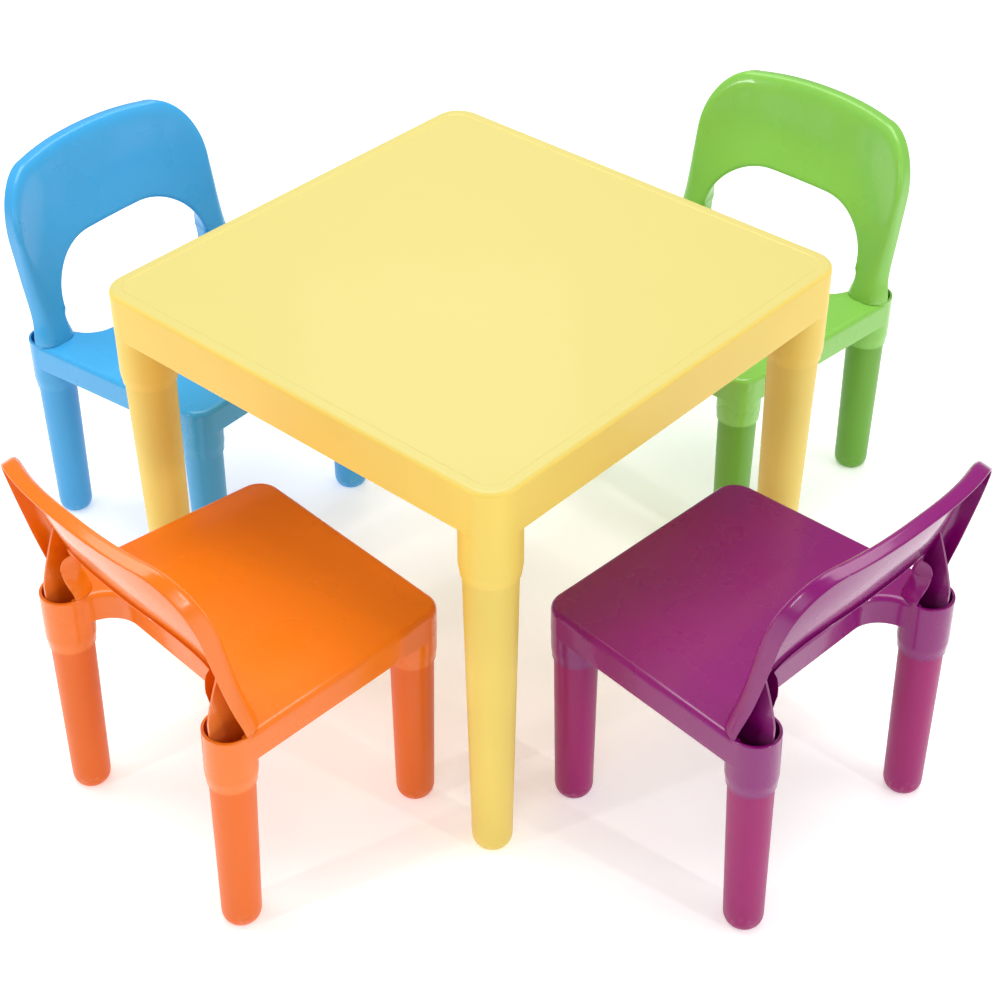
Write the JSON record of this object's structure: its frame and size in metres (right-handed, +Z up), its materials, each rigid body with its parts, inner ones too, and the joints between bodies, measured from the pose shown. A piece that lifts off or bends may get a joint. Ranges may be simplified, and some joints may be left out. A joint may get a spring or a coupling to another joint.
{
  "type": "children's table and chairs",
  "caption": "Low square plastic table with small arched-back plastic chairs drawn up to its sides, for young children to sit, draw and eat at.",
  "frame": {"origin": "on the floor, under the middle of the whole set's bounding box; the table's middle is 15 mm along +X and 39 mm along -Y from it", "axes": "+Z up; X and Y along the table's sides; the orange chair stands on the -Y side and faces +Y, the purple chair on the +X side, the green chair on the +Y side and the blue chair on the -X side"},
  "size_m": [1.0922, 1.0812, 0.443],
  "materials": {
    "yellow_top": "satin moulded polypropylene",
    "yellow_leg": "satin moulded polypropylene",
    "orange_moulding": "glossy moulded polypropylene",
    "orange_leg": "semi-gloss moulded polypropylene",
    "purple_moulding": "glossy moulded polypropylene",
    "purple_leg": "semi-gloss moulded polypropylene",
    "green_moulding": "glossy moulded polypropylene",
    "green_leg": "semi-gloss moulded polypropylene",
    "blue_moulding": "glossy moulded polypropylene",
    "blue_leg": "semi-gloss moulded polypropylene"
  },
  "bodies": {
    "table": {"table_top": "yellow_top", "table_leg_front": "yellow_leg", "table_leg_left": "yellow_leg", "table_leg_back": "yellow_leg", "table_leg_right": "yellow_leg"},
    "orange_chair": {"orange_seat": "orange_moulding", "orange_backrest": "orange_moulding", "orange_leg_front_left": "orange_leg", "orange_leg_front_right": "orange_leg", "orange_leg_rear_left": "orange_leg", "orange_leg_rear_right": "orange_leg"},
    "purple_chair": {"purple_seat": "purple_moulding", "purple_backrest": "purple_moulding", "purple_leg_front_left": "purple_leg", "purple_leg_front_right": "purple_leg", "purple_leg_rear_left": "purple_leg", "purple_leg_rear_right": "purple_leg"},
    "green_chair": {"green_seat": "green_moulding", "green_backrest": "green_moulding", "green_leg_front_left": "green_leg", "green_leg_front_right": "green_leg", "green_leg_rear_left": "green_leg", "green_leg_rear_right": "green_leg"},
    "blue_chair": {"blue_seat": "blue_moulding", "blue_backrest": "blue_moulding", "blue_leg_front_left": "blue_leg", "blue_leg_front_right": "blue_leg", "blue_leg_rear_left": "blue_leg", "blue_leg_rear_right": "blue_leg"}
  },
  "joints": [
    {"name": "orange_chair_slide", "type": "slide", "parent": "table", "child": "orange_chair", "axis": [0.0854, 0.9963, 0], "range_m": [-0.2, 0.015]},
    {"name": "purple_chair_slide", "type": "slide", "parent": "table", "child": "purple_chair", "axis": [-0.9981, 0.061, 0], "range_m": [-0.2, 0.045]},
    {"name": "green_chair_slide", "type": "slide", "parent": "table", "child": "green_chair", "axis": [-0.0349, -0.9994, 0], "range_m": [-0.2, 0.095]},
    {"name": "blue_chair_slide", "type": "slide", "parent": "table", "child": "blue_chair", "axis": [0.9986, 0.0523, 0], "range_m": [-0.2, 0.075]}
  ]
}
